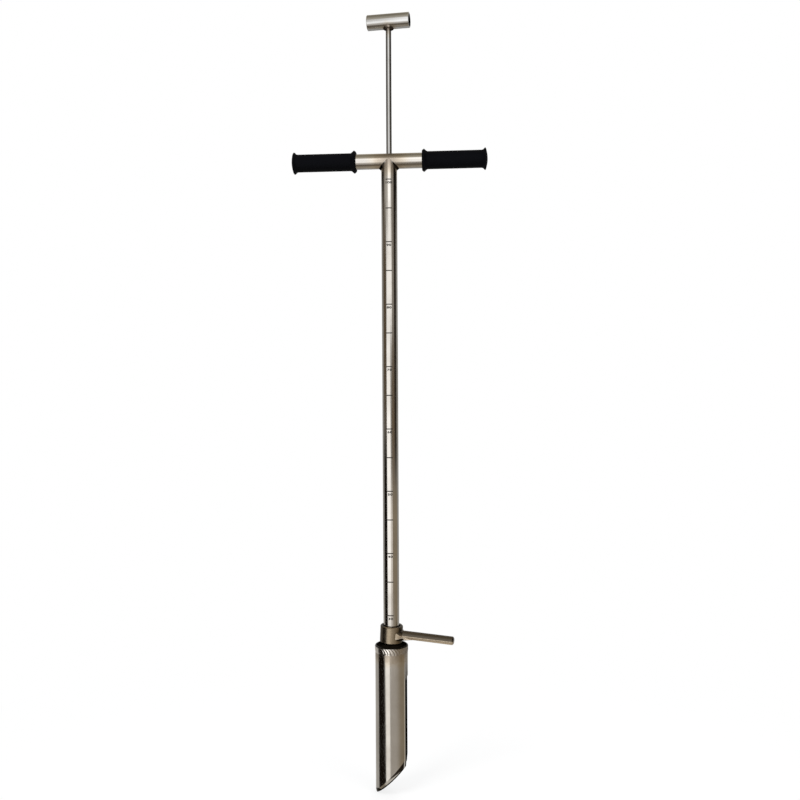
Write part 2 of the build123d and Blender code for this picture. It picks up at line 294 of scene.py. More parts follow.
# masks of the foot peg's painted light, painted shade and painted shadow
def makeTreadWear():
    shares = [(label, "Float", None) for label in ("Facing", "Side", "Below")]
    masks = [(label, "Float") for label in ("PaintedLight", "PaintedShade", "Top", "PaintedShadow")]
    tree, given, out = newGroup("pegShadingGroup", [("Vector", "Vector", None)] + shares, masks)
    turned = stretched(tree, given["Vector"], (1, 1, 1), (0, 0, -math.radians(footPeg["turn"])))
    axes = addNode(tree, "SeparateXYZ", {0: turned}).outputs
    dip = calc(tree, "MULTIPLY_ADD", axes["X"], math.tan(math.radians(footPeg["lean"])), -collarMiddle)
    level = calc(tree, "ADD", axes["Z"], dip)
    uneven = noise(tree, given["Vector"], pegShading["grainScale"])
    level = calc(tree, "MULTIPLY_ADD", uneven, pegShading["grain"], level)
    aside = calc(tree, "SUBTRACT", calc(tree, "ABSOLUTE", axes["Y"]), footPeg["radius"])
    # painted light on faces that look down
    paintedLight = remap(tree, given["Facing"], *pegShading["underFacing"], given["Side"], given["Below"])
    edge = remap(tree, aside, pegShading["near"], pegShading["far"], pegShading["onPeg"], pegShading["onCollar"])
    # painted shade above a ragged level across the peg
    worn = remap(tree, calc(tree, "SUBTRACT", level, edge), 0.0, pegShading["soft"], soft=True)
    under = remap(tree, aside, pegShading["near"], pegShading["far"], pegShading["underPeg"], pegShading["underCollar"])
    # painted shadow under the weld, close to the collar
    hidden = remap(tree, calc(tree, "SUBTRACT", level, under), 0.0, -pegShading["soft"])
    onWeld = remap(tree, aside, pegShading["soft"], 2 * pegShading["soft"])
    tree.links.new(paintedLight, out["PaintedLight"])
    tree.links.new(calc(tree, "MULTIPLY", worn, pegShading["amount"]), out["PaintedShade"])
    # faces that look up take a lighter tone within the painted shade
    tree.links.new(remap(tree, given["Facing"], *pegShading["topFacing"], soft=True), out["Top"])
    tree.links.new(calc(tree, "MULTIPLY", hidden, onWeld), out["PaintedShadow"])
    return tree


weldSizes = dict(patches=320.0, fine=900.0)


def makeWeldGrain():
    outputs = [("Patches", "Float"), ("Fine", "Float")]
    tree, given, out = newGroup("weldGrain", [("Vector", "Vector", None)], outputs)
    tree.links.new(noise(tree, given["Vector"], weldSizes["patches"], 4.0), out["Patches"])
    tree.links.new(noise(tree, given["Vector"], weldSizes["fine"]), out["Fine"])
    return tree


polishGrain = makePolishGrain()
fineScratches = makeFineScratches()
heatTint = makeHeatTint()
paintedReflectionStrip = makeDullStrip()
pegShadingGroup = makeTreadWear()
weldGrain = makeWeldGrain()
print("shared effects ready")


# finishes

noiseRange = (0.3, 0.7)  # where most of a noise lies
noTurn = (0, 0, 0)
lying = (0, math.radians(90), 0)
bareRim = (1, 1, 1, 1)
# the second rim dims the edge-on gleam of the plate and of the saddle and handle welds, standing in for shade
shadeRim = (0.10, 0.09, 0.08, 1)  # how much a finish gleams edge-on


def bumped(tree, shader, layers):
    normal = None
    for height, depth in layers:
        inputs = {"Height": height, "Distance": depth}
        if normal is not None:
            inputs["Normal"] = normal
        normal = addNode(tree, "Bump", inputs).outputs[0]
    tree.links.new(normal, shader.inputs["Normal"])


def paintOver(material, mask, colour):
    tree = material.node_tree
    base = tree.nodes["Principled BSDF"].inputs["Base Color"]
    tree.links.new(mixColour(tree, mask, base.links[0].from_socket, colour), base)


def placeFacing(tree):
    known = addNode(tree, "TexCoord").outputs
    facing = addNode(tree, "SeparateXYZ", {0: known["Normal"]}).outputs["Z"]
    return {"Vector": known["Object"], "Facing": facing}


def dress(material, *names):
    for name in names:
        for slot in nodes[name].material_slots:
            slot.material = material


polish = dict(
    smooth=0.07, rough=0.17, cloudy=(0.35, 0.7), ringRough=0.05, scratchRough=0.2, oxideRough=0.12,
    scratches=0.6, ringBump=0.0000012, scratchBump=-0.000004,
)
warmSteel = dict(dark=(0.50, 0.475, 0.44, 1), light=(0.63, 0.61, 0.58, 1))
coolSteel = dict(dark=(0.50, 0.50, 0.495, 1), light=(0.61, 0.615, 0.62, 1))
rodSteel = dict(dark=(0.38, 0.38, 0.375, 1), light=(0.48, 0.485, 0.49, 1))


def heated(centre, near, far):
    return {"Centre": centre, "Near": near, "Far": far}


def polishedSteel(name, heat, turn=noTurn, tone=warmSteel, wave=0.00003, streak=0.000003):
    material, tree, shader, place = newMaterial(name, {"Metallic": 1.0})
    turned = stretched(tree, place, (1, 1, 1), turn)
    grain = useGroup(tree, polishGrain, {"Vector": turned})
    marks = useGroup(tree, fineScratches, {"Vector": turned, "Amount": polish["scratches"]})["Scratches"]
    tint = useGroup(tree, heatTint, {"Vector": place, **heat})
    colour = mixColour(tree, remap(tree, grain["Clouds"], *noiseRange), tone["dark"], tone["light"])
    colour = mixColour(tree, 1.0, colour, tint["Colour"], "MULTIPLY")
    rough = remap(tree, grain["Clouds"], *polish["cloudy"], polish["rough"], polish["smooth"])
    rough = calc(tree, "MULTIPLY_ADD", grain["Rings"], polish["ringRough"], rough)
    rough = calc(tree, "MULTIPLY_ADD", marks, polish["scratchRough"], rough)
    rough = calc(tree, "MULTIPLY_ADD", tint["Oxide"], polish["oxideRough"], rough)
    tree.links.new(colour, shader.inputs["Base Color"])
    tree.links.new(rough, shader.inputs["Roughness"])
    layers = [(grain["Waves"], wave), (grain["Streaks"], streak)]
    layers += [(grain["Rings"], polish["ringBump"]), (marks, polish["scratchBump"])]
    bumped(tree, shader, layers)
    return material


# where the painted dark reflection lies on the crossbar and on the push handle
barPaintedReflection = dict(start=17, full=24, thin=50, end=60)  # degrees down from the side
handlePaintedReflection = dict(start=25, full=32, thin=55, end=65)


# paints the dark reflection strip into the base colour
def stainedBelow(material, strip):
    tree = material.node_tree
    inputs = placeFacing(tree)
    inputs.update({label: math.sin(math.radians(strip[label.lower()])) for label in stripEdges})
    paintOver(material, useGroup(tree, paintedReflectionStrip, inputs)["Mask"], paintedReflectionDark["colour"])
    return material


barJoint = (0, 0, barHeight)
rodTop = (0, 0, handleHeight - barRadius)
bandRing = (0, 0, (bandLow + bandHigh) / 2)
dress(polishedSteel("shaftSteel", heated(barJoint, 13 * mm, 34 * mm)), "shaft_tube")
barFinish = polishedSteel("crossbarSteel", heated(barJoint, 13 * mm, 40 * mm), lying, wave=0.00006)
dress(stainedBelow(barFinish, barPaintedReflection), "crossbar")
dress(polishedSteel("rodSteel", heated(rodTop, 4 * mm, 18 * mm), tone=rodSteel), "push_rod")
handleFinish = polishedSteel("handleSteel", heated(rodTop, 6 * mm, 16 * mm), lying, coolSteel, wave=0.00014)
dress(stainedBelow(handleFinish, handlePaintedReflection), "push_handle")

# inside: the near-black painted shade of the tube's bore and of the window's edges
mouth = dict(
    slant=42.5, land=1.0 * mm, atTip=4.4 * mm, atHeel=13.4 * mm, bevelTop=0.97,
    bore=(0.1 * mm, 0.3 * mm), inside=(0.016, 0.013, 0.010, 1),
)
# crescent: a painted dark reflection on the upper part of the mouth's bevel, widest on the right
crescent = dict(  # places across are shares of the tube's radius
    middle=0.72, heel=0.10, heelAt=0.75, blur=0.06, fadeIn=(-0.15, 0.05), colour=(0.030, 0.025, 0.019, 1),
)
# a painted dark line of shade along the cutting edge, wider towards the tip
edgeShade = dict(
    width=2.3 * mm, tipWidth=7 * mm, tipAt=(-0.80, -0.62), blur=0.6 * mm, colour=(0.018, 0.015, 0.012, 1),
)


def planeAcross(tree, axes, radius, low, high):
    rise = calc(tree, "MULTIPLY_ADD", axes["X"], (high - low) / (2 * radius), (low + high) / 2)
    return calc(tree, "SUBTRACT", axes["Z"], rise)


def shadeMouth(material, axes):
    tree = material.node_tree
    edgeRadius = plateRadius + mouth["land"]
    heelHeight = tipHeight + 2 * edgeRadius * math.tan(math.radians(mouth["slant"]))
    aboveEdge = planeAcross(tree, axes, edgeRadius, tipHeight, heelHeight)
    belowTop = planeAcross(tree, axes, tubeRadius, tipHeight + mouth["atTip"], heelHeight + mouth["atHeel"])
    share = calc(tree, "DIVIDE", aboveEdge, calc(tree, "SUBTRACT", aboveEdge, belowTop))
    onBevel = remap(tree, share, mouth["bevelTop"], 1.0, 1.0, 0.0)
    heelAt = crescent["heelAt"] * tubeRadius
    start = remap(tree, axes["X"], 0.0, heelAt, crescent["middle"], crescent["heel"])
    # the painted dark reflection on the bevel
    dark = remap(tree, calc(tree, "SUBTRACT", share, start), -crescent["blur"], crescent["blur"])
    reach = remap(tree, axes["X"], *[part * tubeRadius for part in crescent["fadeIn"]])
    dark = calc(tree, "MULTIPLY", calc(tree, "MULTIPLY", onBevel, dark), reach)
    paintOver(material, dark, crescent["colour"])
    # painted shade along the cutting edge
    tipAt = [part * tubeRadius for part in edgeShade["tipAt"]]
    width = remap(tree, axes["X"], *tipAt, edgeShade["tipWidth"], edgeShade["width"])
    past = calc(tree, "SUBTRACT", aboveEdge, width)
    paintOver(material, remap(tree, past, 0.0, edgeShade["blur"], 1.0, 0.0), edgeShade["colour"])


# near-black painted shade round the window's edges, widest on the front, with a painted highlight beside it
window = dict(
    half=10 * mm, frontShade=3.7 * mm, backShade=1.3 * mm, blur=0.15 * mm, bright=2.0 * mm,
    side=15 * mm, sideBlur=1 * mm, top=-38 * mm, fade=6 * mm, paintedHighlight=(0.88, 0.86, 0.82, 1),
)


def scorchWindow(material, axes):
    tree = material.node_tree
    toFront = calc(tree, "MULTIPLY", axes["Y"], -1.0)
    forward = calc(tree, "SUBTRACT", toFront, window["half"] + window["frontShade"])
    behind = calc(tree, "SUBTRACT", axes["Y"], window["half"] + window["backShade"])
    beside = calc(tree, "MAXIMUM", forward, behind)
    rightSide = remap(tree, axes["X"], window["side"], window["side"] + window["sideBlur"])
    lower = remap(tree, axes["Z"], window["top"], window["top"] - window["fade"])
    here = calc(tree, "MULTIPLY", rightSide, lower)
    # first a painted highlight strip, then painted shade at the edge
    for width, colour in ((window["bright"], window["paintedHighlight"]), (0.0, mouth["inside"])):
        rim = remap(tree, beside, width, width + window["blur"], 1.0, 0.0)
        paintOver(material, calc(tree, "MULTIPLY", rim, here), colour)


def tubeSteel(name):
    material = polishedSteel(name, heated(bandRing, 26 * mm, 38 * mm), streak=0.000009)
    tree = material.node_tree
    place, axes = placeAxes(tree)
    shadeMouth(material, axes)
    scorchWindow(material, axes)
    # painted shade inside the bore
    bore = [plateRadius + step for step in mouth["bore"]]
    paintOver(material, remap(tree, fromAxis(tree, place), *bore, 1.0, 0.0), mouth["inside"])
    return material


dress(tubeSteel("tubeSteel"), "sampling_tube")

satin = dict(
    dark=(0.235, 0.19, 0.137, 1), light=(0.42, 0.347, 0.255, 1), smooth=0.24, rough=0.36, ringScale=1600.0,
    share=0.6, spread=(0.35, 0.85), scratches=0.8, scratchRough=0.15,
    ringBump=0.000012, scratchBump=-0.000006,
)


def satinSteel(name, turn=noTurn):
    material, tree, shader, place = newMaterial(name, {"Metallic": 1.0})
    turned = stretched(tree, place, (1, 1, 1), turn)
    grain = useGroup(tree, polishGrain, {"Vector": turned, "Ring Scale": satin["ringScale"]})
    marks = useGroup(tree, fineScratches, {"Vector": turned, "Amount": satin["scratches"]})["Scratches"]
    rings = calc(tree, "MULTIPLY", grain["Rings"], satin["share"])
    blend = calc(tree, "ADD", rings, calc(tree, "MULTIPLY", grain["Clouds"], satin["share"]))
    colour = mixColour(tree, remap(tree, blend, *satin["spread"]), satin["dark"], satin["light"])
    tree.links.new(colour, shader.inputs["Base Color"])
    rough = remap(tree, grain["Clouds"], *noiseRange, satin["smooth"], satin["rough"])
    rough = calc(tree, "MULTIPLY_ADD", marks, satin["scratchRough"], rough)
    tree.links.new(rough, shader.inputs["Roughness"])
    bumped(tree, shader, [(grain["Rings"], satin["ringBump"]), (marks, satin["scratchBump"])])
    return material


# the collar's dark left side is painted shade, the dark patch round the peg's root is heat scorch with
# painted shade under the peg, and the dark ring at the gap round the shaft is painted shade
collar = dict(
    radius=18.5 * mm, near=12 * mm, far=20 * mm, atPeg=0.92, sideStart=-9 * mm, sideEnd=-15 * mm, atSide=0.8,
    gap=(2.4 * mm, 3.2 * mm), gapShade=(0.008, 0.006, 0.005, 1), scorchAndShade=(0.070, 0.053, 0.038, 1),
)


def collarSteel(name):
    material = satinSteel(name)
    tree = material.node_tree
    place, axes = placeAxes(tree)
    low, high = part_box("foot_peg_weld")
    away = distance(tree, place, (Vector(low) + Vector(high)) / 2)
    # heat scorch and painted shade round the peg's root
    scorchShadeNearPeg = remap(tree, away, collar["near"], collar["far"], collar["atPeg"], 0.0, soft=True)
    paintOver(material, scorchShadeNearPeg, collar["scorchAndShade"])
    # painted shade down the collar's left side
    beside = remap(tree, axes["X"], collar["sideStart"], collar["sideEnd"], 0.0, collar["atSide"], soft=True)
    paintOver(material, beside, collar["scorchAndShade"])
    gap = [shaftRadius + step for step in collar["gap"]]
    # painted shade in the gap between collar and shaft
    paintOver(material, remap(tree, fromAxis(tree, place), *gap, 1.0, 0.0), collar["gapShade"])
    return material


dress(collarSteel("collarSatin"), "foot_collar")

# lit and shaded tones of the peg finish: painted light below, painted shade on top
pegTone = dict(side=0.25, below=1.0, shadedTone=(0.047, 0.039, 0.030, 1), paintedLight=(0.80, 0.71, 0.59, 1))
fishtailTone = dict(side=1.0, below=0.6, shadedTone=(0.085, 0.070, 0.054, 1), paintedLight=(0.94, 0.85, 0.73, 1))


def pegSteel(name, tone):
    material = satinSteel(name, lying)
    tree = material.node_tree
    inputs = {**placeFacing(tree), "Side": tone["side"], "Below": tone["below"]}
    pegShade = useGroup(tree, pegShadingGroup, inputs)
    # painted light, then painted shade, then painted shadow
    paintOver(material, pegShade["PaintedLight"], tone["paintedLight"])
    paintOver(material, pegShade["PaintedShade"], mixColour(tree, pegShade["Top"], tone["shadedTone"], pegShading["upFacingTone"]))
    paintOver(material, pegShade["PaintedShadow"], pegShading["shadowTone"])
    return material


dress(pegSteel("pegSatin", pegTone), "foot_peg")
dress(satinSteel("plungerSatin"), "piston_disc", "piston_washer", "thrust_washer", "piston_nut")

# the top plate's near-black is heat scale together with painted shade under the collar
plate = dict(
    dark=(0.012, 0.010, 0.009, 1), light=(0.034, 0.029, 0.025, 1), grain=220.0,
    smooth=0.42, rough=0.62, bump=0.00006,
)


def scaledSteel(name):
    material, tree, shader, place = newMaterial(name, {"Metallic": 1.0, "Specular Tint": shadeRim})
    patches = noise(tree, place, plate["grain"], 5.0)
    rough = remap(tree, patches, *noiseRange, plate["smooth"], plate["rough"])
    tree.links.new(mixColour(tree, patches, plate["dark"], plate["light"]), shader.inputs["Base Color"])
    tree.links.new(rough, shader.inputs["Roughness"])
    bumped(tree, shader, [(patches, plate["bump"])])
    return material


dress(scaledSteel("plateScaleAndShade"), "top_plate")

weld = dict(spread=(0.3, 0.65), rough=0.28, smooth=0.15, bump=0.00002)
brightWeld = dict(valley=(0.58, 0.54, 0.49, 1), crest=(0.84, 0.81, 0.77, 1))
burntWeld = dict(valley=(0.10, 0.08, 0.065, 1), crest=(0.30, 0.26, 0.22, 1))
# near-black weld tones, used as painted shade at the sides of the saddle and handle welds
shadedWeld = dict(valley=(0.022, 0.018, 0.014, 1), crest=(0.075, 0.062, 0.050, 1))


def weldSteel(name, tone, rim=bareRim):
    material, tree, shader, place = newMaterial(name, {"Metallic": 1.0, "Specular Tint": rim})
    grain = useGroup(tree, weldGrain, {"Vector": place})
    colour = mixColour(tree, remap(tree, grain["Patches"], *weld["spread"]), tone["valley"], tone["crest"])
    rough = remap(tree, grain["Patches"], *noiseRange, weld["rough"], weld["smooth"])
    tree.links.new(colour, shader.inputs["Base Color"])
    tree.links.new(rough, shader.inputs["Roughness"])
    bumped(tree, shader, [(grain["Fine"], weld["bump"])])
    return material


# the groove tone is oxide in the ripple valleys, the side tone is painted shade on the band's right side, and
# the top tone is painted shade next to the plate
bandTintAndShade = dict(
    groove=(0.30, 0.80), inGroove=0.9, sideAt=(5 * mm, 12 * mm), atSide=0.7,
    topStart=2.1 * mm, topEnd=0.9 * mm, dullAt=(14 * mm, 22 * mm), dull=0.35,
)


def bandWeld(name):
    material = weldSteel(name, brightWeld)
    tree = material.node_tree
    ripple = addNode(tree, "Attribute", attribute_name="ripple").outputs["Fac"]
    groove = remap(tree, ripple, *bandTintAndShade["groove"], bandTintAndShade["inGroove"], 0.0)
    paintOver(material, groove, burntWeld["valley"])
    axes = placeAxes(tree)[1]
    # painted shade on the band's right side
    beside = remap(tree, axes["X"], *bandTintAndShade["sideAt"], 0.0, bandTintAndShade["atSide"], soft=True)
    paintOver(material, beside, burntWeld["crest"])
    # painted shade along the band's top, next to the plate
    top = remap(tree, axes["Z"], bandHigh - bandTintAndShade["topStart"], bandHigh - bandTintAndShade["topEnd"])
    paintOver(material, top, plate["dark"])
    rough = tree.nodes["Principled BSDF"].inputs["Roughness"]
    dulled = remap(tree, axes["X"], *bandTintAndShade["dullAt"], 0.0, bandTintAndShade["dull"])
    tree.links.new(calc(tree, "ADD", rough.links[0].from_socket, dulled), rough)
    return material


# painted shade at the sides of the saddle weld, in the corners beside the shaft
saddleSideShade = dict(near=4 * mm, far=7 * mm)


def saddleSteel(name):
    material = weldSteel(name, brightWeld, shadeRim)
    tree = material.node_tree
    aside = calc(tree, "ABSOLUTE", placeAxes(tree)[1]["X"])
    paintOver(material, remap(tree, aside, saddleSideShade["near"], saddleSideShade["far"]), shadedWeld["valley"])
    return material


# the handle weld's sides on the rod, in the corners below the handle, take painted shade
rodWeld = dict(near=1.8 * mm, far=3.6 * mm, lap=1.5 * mm)


def handleWeld(name):
    material = weldSteel(name, burntWeld, shadeRim)
    tree = material.node_tree
    axes = placeAxes(tree)[1]
    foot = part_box("push_handle")[0].z
    onRod = remap(tree, axes["Z"], foot + rodWeld["lap"], foot)
    beside = remap(tree, calc(tree, "ABSOLUTE", axes["X"]), rodWeld["near"], rodWeld["far"])
    paintOver(material, calc(tree, "MULTIPLY", beside, onRod), shadedWeld["crest"])
    return material


dress(weldSteel("burntWeld", burntWeld), "shaft_weld")
dress(handleWeld("handleWeld"), "push_handle_weld")

rubber = dict(
    dark=(0.0012, 0.0013, 0.0019, 1), light=(0.0028, 0.0029, 0.0040, 1), shine=0.03,
    stipple=1500.0, clouds=45.0, smooth=0.48, rough=0.66, bump=0.00008,
)


def gripRubber(name):
    material, tree, shader, place = newMaterial(name, {"Specular IOR Level": rubber["shine"]})
    cloud = noise(tree, place, rubber["clouds"])
    rough = remap(tree, cloud, *noiseRange, rubber["smooth"], rubber["rough"])
    tree.links.new(mixColour(tree, cloud, rubber["dark"], rubber["light"]), shader.inputs["Base Color"])
    tree.links.new(rough, shader.inputs["Roughness"])
    bumped(tree, shader, [(noise(tree, place, rubber["stipple"], 2.0), rubber["bump"])])
    return material


dress(gripRubber("gripRubber"), "grip_left", "grip_right", "rod_seal")

bush = dict(
    dark=(0.66, 0.63, 0.56, 1), light=(0.80, 0.77, 0.70, 1), rough=0.4, ringScale=1200.0, bump=0.00002,
)


def bushPlastic(name):
    material, tree, shader, place = newMaterial(name, {"Roughness": bush["rough"]})
    grain = useGroup(tree, polishGrain, {"Vector": place, "Ring Scale": bush["ringScale"]})
    colour = mixColour(tree, grain["Clouds"], bush["dark"], bush["light"])
    tree.links.new(colour, shader.inputs["Base Color"])
    bumped(tree, shader, [(grain["Rings"], bush["bump"])])
    return material


dress(bushPlastic("bushPlastic"), "guide_bush")
print("CAD nodes dressed")


# new pieces

sharpAngle = math.radians(70)
ripplePower = 0.7  # below 1 rounds the crests and sharpens the valleys


def finishPiece(name, bm, material, body):
    bmesh.ops.recalc_face_normals(bm, faces=bm.faces)
    mesh = bpy.data.meshes.new(name)
    bm.to_mesh(mesh)
    bm.free()
    mesh.set_sharp_from_angle(angle=sharpAngle)
    mesh.materials.append(material)
    piece = bpy.data.objects.new(name, mesh)
    bpy.context.scene.collection.objects.link(piece)
    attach(piece, body)
    return piece


plateWeld = dict(
    ripples=31, perRipple=12, rows=16, roundSteps=6, depth=0.5 * mm, slant=0.7, curl=0.45,
    round=2.3 * mm, seat=0.6 * mm, lap=1.8 * mm, fade=4 * mm, worn=0.75, merge=0.01 * mm,
)


def bandShare(height):
    t = min(1.0, (height - bandLow) / plateWeld["fade"])
    return t * t * (3 - 2 * t)


def ringProfile(bm):
    rim = bandHigh - plateWeld["lap"]
    points = [(plateRadius, rim), (plateRadius, bandHigh)]
    curve = plateWeld["round"]
    top = bandHigh - curve
    for step in range(plateWeld["roundSteps"] + 1):
        angle = math.radians(90 - 90 * step / plateWeld["roundSteps"])
        points.append((bandRadius - curve + curve * math.cos(angle), top + curve * math.sin(angle)))
    for row in range(1, plateWeld["rows"] + 1):
        height = top + (bandLow - top) * row / plateWeld["rows"]
        points.append((tubeRadius + (bandRadius - tubeRadius) * bandShare(height), height))
    points += [(tubeRadius - plateWeld["seat"], bandLow), (tubeRadius - plateWeld["seat"], rim)]
    verts = [bm.verts.new((radius, 0, height)) for radius, height in points]
    edges = [bm.edges.new((verts[i - 1], verts[i])) for i in range(len(verts))]
    return verts + edges


def makePlateWeld():
    bm = bmesh.new()
    steps = plateWeld["ripples"] * plateWeld["perRipple"]
    profile = ringProfile(bm)
    bmesh.ops.spin(bm, geom=profile, axis=(0, 0, 1), angle=2 * math.pi, steps=steps, use_merge=True)
    bmesh.ops.remove_doubles(bm, verts=bm.verts, dist=plateWeld["merge"])
    middle, half = (bandLow + bandHigh) / 2, (bandHigh - bandLow) / 2
    ripple = bm.verts.layers.float.new("ripple")
    for vert in bm.verts:
        radius = vert.co.xy.length
        outside = radius > tubeRadius - plateWeld["seat"] / 2
        share = bandShare(vert.co.z) if outside else 0.0
        s = (vert.co.z - middle) / half
        phase = plateWeld["ripples"] * math.atan2(vert.co.x, -vert.co.y) / (2 * math.pi)
        phase += plateWeld["slant"] * s + plateWeld["curl"] * s * s
        crest = abs(math.sin(math.pi * phase)) ** ripplePower
        side = min(1.0, abs(vert.co.x) / (plateWeld["worn"] * bandRadius))
        depth = plateWeld["depth"] * (1 - side * side)
        vert[ripple] = 1 - (1 - crest) * (1 - side * side)
        vert.co.xy *= 1 - share * depth * (1 - crest) / radius
    piece = finishPiece("plate_weld_ripples", bm, bandWeld("bandWeld"), "frame")
    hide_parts("plate_weld")


makePlateWeld()


def alongCurve(low, pull, high, share):
    return low * (1 - share) ** 2 + pull * 2 * share * (1 - share) + high * share**2


def makeBead(name, beadPoint, sizes, material, body):
    bm = bmesh.new()
    loops = []
    for ring in range(sizes["rings"]):
        verts = bmesh.ops.create_circle(bm, segments=sizes["steps"], radius=1)["verts"]
        loops.append({edge for vert in verts for edge in vert.link_edges})
        for vert in verts:
            vert.co = beadPoint(math.atan2(vert.co.y, vert.co.x), ring / (sizes["rings"] - 1))
    for first, second in zip(loops, loops[1:] + loops[:1]):
        bmesh.ops.bridge_loops(bm, edges=list(first | second))
    return finishPiece(name, bm, material, body)


saddleWeld = dict(
    steps=264, rings=7, ripples=44, lag=1.2, wobble=0.12 * mm, sunk=0.15 * mm,
    downShaft=(0.9 * mm, 2.2 * mm),  # least, and how much more at the sides
    sidePower=0.8, alongBar=3.6 * mm, aroundBar=1.2 * mm, hollow=0.45, faceDown=-0.6,
)


def saddlePoint(angle, share):
    x, y = math.cos(angle), math.sin(angle)
    lean = math.asin(max(-1, min(1, shaftRadius * y / barRadius)))
    corner = Vector((shaftRadius * x, shaftRadius * y, barHeight - barRadius * math.cos(lean)))
    least, more = saddleWeld["downShaft"]
    inner = shaftRadius - saddleWeld["sunk"]
    low = Vector((inner * x, inner * y, corner.z - least - more * abs(x) ** saddleWeld["sidePower"]))
    reach = lean + saddleWeld["aroundBar"] * y / barRadius
    depth = barRadius - saddleWeld["sunk"]
    along = (shaftRadius + saddleWeld["alongBar"]) * x
    high = Vector((along, depth * math.sin(reach), barHeight - depth * math.cos(reach)))
    pull = ((low + high) / 2).lerp(corner, saddleWeld["hollow"])
    outward = Vector((x, y, saddleWeld["faceDown"])).normalized()
    crest = abs(math.sin(saddleWeld["ripples"] * angle / 2 + saddleWeld["lag"] * share)) ** ripplePower
    valley = saddleWeld["wobble"] * (1 - crest) * math.sin(math.pi * share)
    return alongCurve(low, pull, high, share) - outward * valley


saddleBead = makeBead("crossbar_weld_bead", saddlePoint, saddleWeld, saddleSteel("saddleWeld"), "frame")
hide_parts("crossbar_weld_left", "crossbar_weld_right")

pegWeld = dict(
    steps=144, rings=9, front=9.4 * mm, back=3.4 * mm, rise=0.4 * mm, dip=1.9 * mm, square=0.5,
    above=1.5 * mm, beside=3.0 * mm, under=20 * mm, sunk=0.15 * mm, bulge=1.7 * mm,
)
pegTurn = Matrix.Rotation(math.radians(footPeg["turn"]), 4, "Z")
pegLean = Matrix.Rotation(math.radians(footPeg["lean"]), 4, "Y")
pegPlace = Matrix.Translation((0, 0, collarMiddle)) @ (pegTurn @ pegLean)


def squared(value):
    return math.copysign(abs(value) ** pegWeld["square"], value)


def pegWeldPoint(angle, share):
    across, up = math.cos(angle), math.sin(angle)
    radius = footPeg["radius"]
    spread = pegWeld["back"] + (pegWeld["front"] - pegWeld["back"]) * (1 + across) / 2
    wide = (radius + spread) * squared(across)
    tall = (radius + (pegWeld["rise"] if up > 0 else pegWeld["dip"])) * squared(up)
    low = Vector((math.sqrt((collar["radius"] - pegWeld["sunk"]) ** 2 - wide**2), -wide, tall))
    root = math.sqrt(collar["radius"] ** 2 - (radius * across) ** 2)
    out = pegWeld["beside"] * across**2 + pegWeld["above" if up > 0 else "under"] * up**2
    depth = radius - pegWeld["sunk"]
    high = Vector((root + out, -depth * across, depth * up))
    middle = (low + high) / 2
    fromShaft = Vector((middle.x, middle.y, 0)).normalized()
    fromPeg = Vector((0, middle.y, middle.z)).normalized()
    pull = middle + (fromShaft + fromPeg).normalized() * pegWeld["bulge"] * across**2
    return pegPlace @ alongCurve(low, pull, high, share)


fishtailFinish = pegSteel("pegWeld", fishtailTone)
fishtail = makeBead("foot_peg_fishtail", pegWeldPoint, pegWeld, fishtailFinish, "foot_rest")
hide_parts("foot_peg_weld")
print("welds built")

etched = dict(
    dark=(0.020, 0.017, 0.014, 1), worn=(0.10, 0.09, 0.08, 1), metal=0.6, grain=1300.0, wornAt=(0.45, 0.75),
    smooth=0.5, rough=0.75, bump=0.00003,
)


def etchedMark(name):
    material, tree, shader, place = newMaterial(name, {"Metallic": etched["metal"]})
    patches = noise(tree, place, etched["grain"])
    colour = mixColour(tree, remap(tree, patches, *etched["wornAt"]), etched["dark"], etched["worn"])
    rough = remap(tree, patches, *noiseRange, etched["smooth"], etched["rough"])
    tree.links.new(colour, shader.inputs["Base Color"])
    tree.links.new(rough, shader.inputs["Roughness"])
    bumped(tree, shader, [(patches, etched["bump"])])
    return material


markFinish = etchedMark("etchedMark")
depthScale = dict(
    first=290 * mm, step=101 * mm, half=54.5 * mm, count=8, width=9.8 * mm, height=1.65 * mm,
    firstNumber=30, numberStep=10, halfNumber=5, digits=3.4 * mm, spread=1.5, apart=1.12, drop=5.4 * mm,
    capHeight=0.7,  # a digit's height as a share of the font size
    bold=0.21 * mm, merge=0.0005 * mm,  # at this weight the fill of every digit closes
    proud=0.03 * mm, thick=0.12 * mm, slice=0.6 * mm,
)


def sliced(bm, half):
    count = math.ceil(half / depthScale["slice"])
    for step in range(-count, count + 1):
        geom = bm.faces[:] + bm.edges[:] + bm.verts[:]
        bmesh.ops.bisect_plane(bm, geom=geom, plane_co=(step * depthScale["slice"], 0, 0), plane_no=(1, 0, 0))


def wrapOnShaft(bm, height):
    sliced(bm, max(abs(vert.co.x) for vert in bm.verts))
    for vert in bm.verts:
        angle = vert.co.x / shaftRadius
        radius = shaftRadius + depthScale["proud"] - depthScale["thick"] / 2 + vert.co.z
        vert.co = (radius * math.sin(angle), -radius * math.cos(angle), height + vert.co.y)


def makeLine(depth, height):
    bm = bmesh.new()
    bmesh.ops.create_cube(bm, size=1)
    bmesh.ops.scale(bm, vec=(depthScale["width"], depthScale["height"], depthScale["thick"]), verts=bm.verts)
    wrapOnShaft(bm, height)
    finishPiece(f"depth_line_{depth}", bm, markFinish, "frame")


